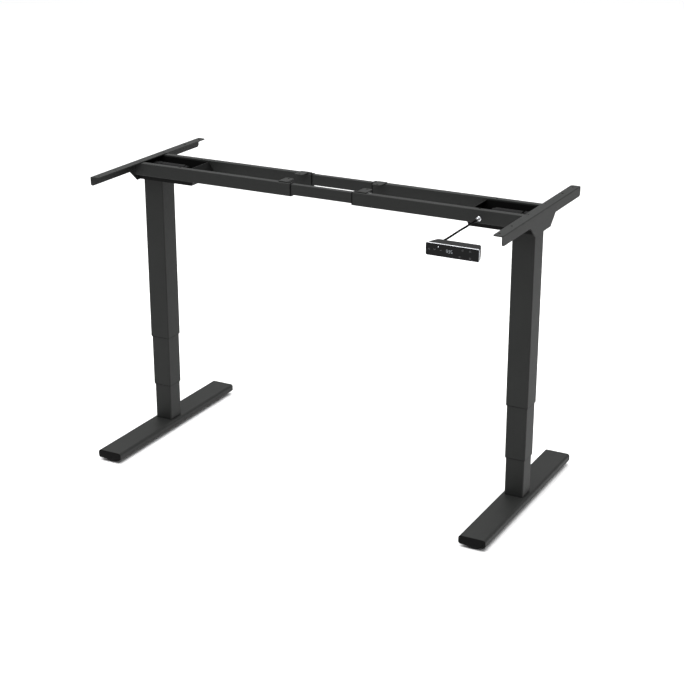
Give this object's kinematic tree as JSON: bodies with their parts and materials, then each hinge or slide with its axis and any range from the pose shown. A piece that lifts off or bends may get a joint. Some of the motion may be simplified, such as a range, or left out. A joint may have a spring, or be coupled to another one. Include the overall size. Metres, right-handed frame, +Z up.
{
  "type": "height adjustable standing desk frame",
  "caption": "Electric sit-stand desk frame with telescopic square columns on flat feet, width-adjustable rails, side brackets and a touch handset on a short lead.",
  "frame": {"origin": "on the floor, midway between the two columns", "axes": "+X along the rails to the handset's side, +Y to the back, +Z up"},
  "size_m": [1.36, 0.7825, 0.93],
  "materials": {
    "powder_coat": "fine-textured charcoal powder coat, satin",
    "tray_coat": "black powder coat, darker than the rails",
    "cap_plastic": "moulded black plastic, fine grain",
    "glide_rubber": "black elastomer pad",
    "bush_plastic": "moulded black nylon",
    "guide_plastic": "natural acetal",
    "zinc": "bright zinc plate",
    "black_screw": "black oxide",
    "spindle_steel": "rolled thread, greased",
    "gear_case": "die cast, painted black",
    "motor_paint": "black enamel",
    "box_plastic": "black housing",
    "socket_chrome": "bright plated ring",
    "plug_plastic": "black moulding",
    "lead_jacket": "black jacket",
    "handset_plastic": "fine-grained black plastic",
    "handset_trim": "satin silver frame",
    "touch_glass": "polished black panel",
    "circuit_board": "green solder mask"
  },
  "bodies": {
    "left_foot": {"left_foot_tube": "powder_coat", "left_foot_cap_front": "cap_plastic", "left_foot_cap_rear": "cap_plastic", "left_foot_bolts": "zinc", "left_lower_column": "powder_coat", "left_lower_nut": "guide_plastic"},
    "left_front_glide": {"left_glide_front": "glide_rubber"},
    "left_rear_glide": {"left_glide_rear": "glide_rubber"},
    "left_middle": {"left_middle_column": "powder_coat", "left_middle_bush": "bush_plastic", "left_middle_plug": "guide_plastic"},
    "left_hollow": {"left_hollow_spindle": "spindle_steel"},
    "left_drive": {"left_drive_spindle": "spindle_steel"},
    "left_head": {"left_upper_column": "powder_coat", "left_upper_bush": "bush_plastic", "left_tray": "tray_coat", "left_gearbox": "gear_case", "left_motor": "motor_paint", "left_side_bracket": "powder_coat", "left_head_screws": "black_screw", "left_front_rail": "powder_coat", "left_rear_rail": "powder_coat", "left_desk_tabs": "powder_coat", "left_rail_sleeves": "bush_plastic", "left_lock_screws": "black_screw"},
    "right_foot": {"right_foot_tube": "powder_coat", "right_foot_cap_front": "cap_plastic", "right_foot_cap_rear": "cap_plastic", "right_foot_bolts": "zinc", "right_lower_column": "powder_coat", "right_lower_nut": "guide_plastic"},
    "right_front_glide": {"right_glide_front": "glide_rubber"},
    "right_rear_glide": {"right_glide_rear": "glide_rubber"},
    "right_middle": {"right_middle_column": "powder_coat", "right_middle_bush": "bush_plastic", "right_middle_plug": "guide_plastic"},
    "right_hollow": {"right_hollow_spindle": "spindle_steel"},
    "right_drive": {"right_drive_spindle": "spindle_steel"},
    "right_head": {"right_upper_column": "powder_coat", "right_upper_bush": "bush_plastic", "right_tray": "tray_coat", "right_gearbox": "gear_case", "right_motor": "motor_paint", "right_side_bracket": "powder_coat", "right_head_screws": "black_screw", "right_front_rail": "powder_coat", "right_rear_rail": "powder_coat", "right_desk_tabs": "powder_coat", "right_rail_sleeves": "bush_plastic", "right_lock_screws": "black_screw", "control_box": "box_plastic", "lead_socket": "socket_chrome", "lead_plug": "plug_plastic", "handset_lead": "lead_jacket", "handset_shell": "handset_plastic", "handset_frame": "handset_trim", "handset_glass": "touch_glass", "handset_board": "circuit_board"},
    "front_inner": {"front_inner_rail": "powder_coat"},
    "rear_inner": {"rear_inner_rail": "powder_coat"}
  },
  "joints": [
    {"name": "left_middle_slide", "type": "slide", "parent": "left_foot", "child": "left_middle", "axis": [0, 0, 1], "range_m": [-0.118, 0.14]},
    {"name": "left_head_slide", "type": "slide", "parent": "left_middle", "child": "left_head", "axis": [0, 0, 1], "range_m": [-0.16, 0.19]},
    {"name": "left_rail_slide", "type": "slide", "parent": "left_head", "child": "front_inner", "axis": [1, 0, 0], "range_m": [-0.095, 0.19]},
    {"name": "rear_rail_slide", "type": "slide", "parent": "left_head", "child": "rear_inner", "axis": [1, 0, 0], "range_m": [-0.095, 0.19]},
    {"name": "right_rail_slide", "type": "slide", "parent": "front_inner", "child": "right_head", "axis": [1, 0, 0], "range_m": [-0.095, 0.19]},
    {"name": "right_head_slide", "type": "slide", "parent": "right_head", "child": "right_middle", "axis": [0, 0, -1], "range_m": [-0.16, 0.19]},
    {"name": "right_middle_slide", "type": "slide", "parent": "right_middle", "child": "right_foot", "axis": [0, 0, -1], "range_m": [-0.118, 0.14]},
    {"name": "left_hollow_spin", "type": "hinge", "parent": "left_middle", "child": "left_hollow", "pos_m": [-0.635, 0, 0.5], "axis": [0, 0, 1], "range_deg": [-3541, 4201]},
    {"name": "left_drive_spin", "type": "hinge", "parent": "left_head", "child": "left_drive", "pos_m": [-0.635, 0, 0.7], "axis": [0, 0, 1], "range_deg": [-8320, 9871]},
    {"name": "left_front_glide_screw", "type": "slide", "parent": "left_foot", "child": "left_front_glide", "axis": [0, 0, -1], "range_m": [0, 0.01]},
    {"name": "left_rear_glide_screw", "type": "slide", "parent": "left_foot", "child": "left_rear_glide", "axis": [0, 0, -1], "range_m": [0, 0.01]},
    {"name": "right_hollow_spin", "type": "hinge", "parent": "right_middle", "child": "right_hollow", "pos_m": [0.635, 0, 0.5], "axis": [0, 0, 1], "range_deg": [-3541, 4201]},
    {"name": "right_drive_spin", "type": "hinge", "parent": "right_head", "child": "right_drive", "pos_m": [0.635, 0, 0.7], "axis": [0, 0, 1], "range_deg": [-8320, 9871]},
    {"name": "right_front_glide_screw", "type": "slide", "parent": "right_foot", "child": "right_front_glide", "axis": [0, 0, -1], "range_m": [0, 0.01]},
    {"name": "right_rear_glide_screw", "type": "slide", "parent": "right_foot", "child": "right_rear_glide", "axis": [0, 0, -1], "range_m": [0, 0.01]}
  ],
  "couplings": [
    {"joint": "left_head_slide", "follows": "left_middle_slide", "ratio": 1.35},
    {"joint": "right_head_slide", "follows": "left_middle_slide", "ratio": 1.35},
    {"joint": "right_middle_slide", "follows": "left_middle_slide", "ratio": 1},
    {"joint": "rear_rail_slide", "follows": "left_rail_slide", "ratio": 1},
    {"joint": "right_rail_slide", "follows": "left_rail_slide", "ratio": 1},
    {"joint": "left_hollow_spin", "follows": "left_middle_slide", "rad_per_m": 523.6},
    {"joint": "right_hollow_spin", "follows": "left_middle_slide", "rad_per_m": 523.6},
    {"joint": "left_drive_spin", "follows": "left_middle_slide", "rad_per_m": 1230.5},
    {"joint": "right_drive_spin", "follows": "left_middle_slide", "rad_per_m": 1230.5}
  ]
}
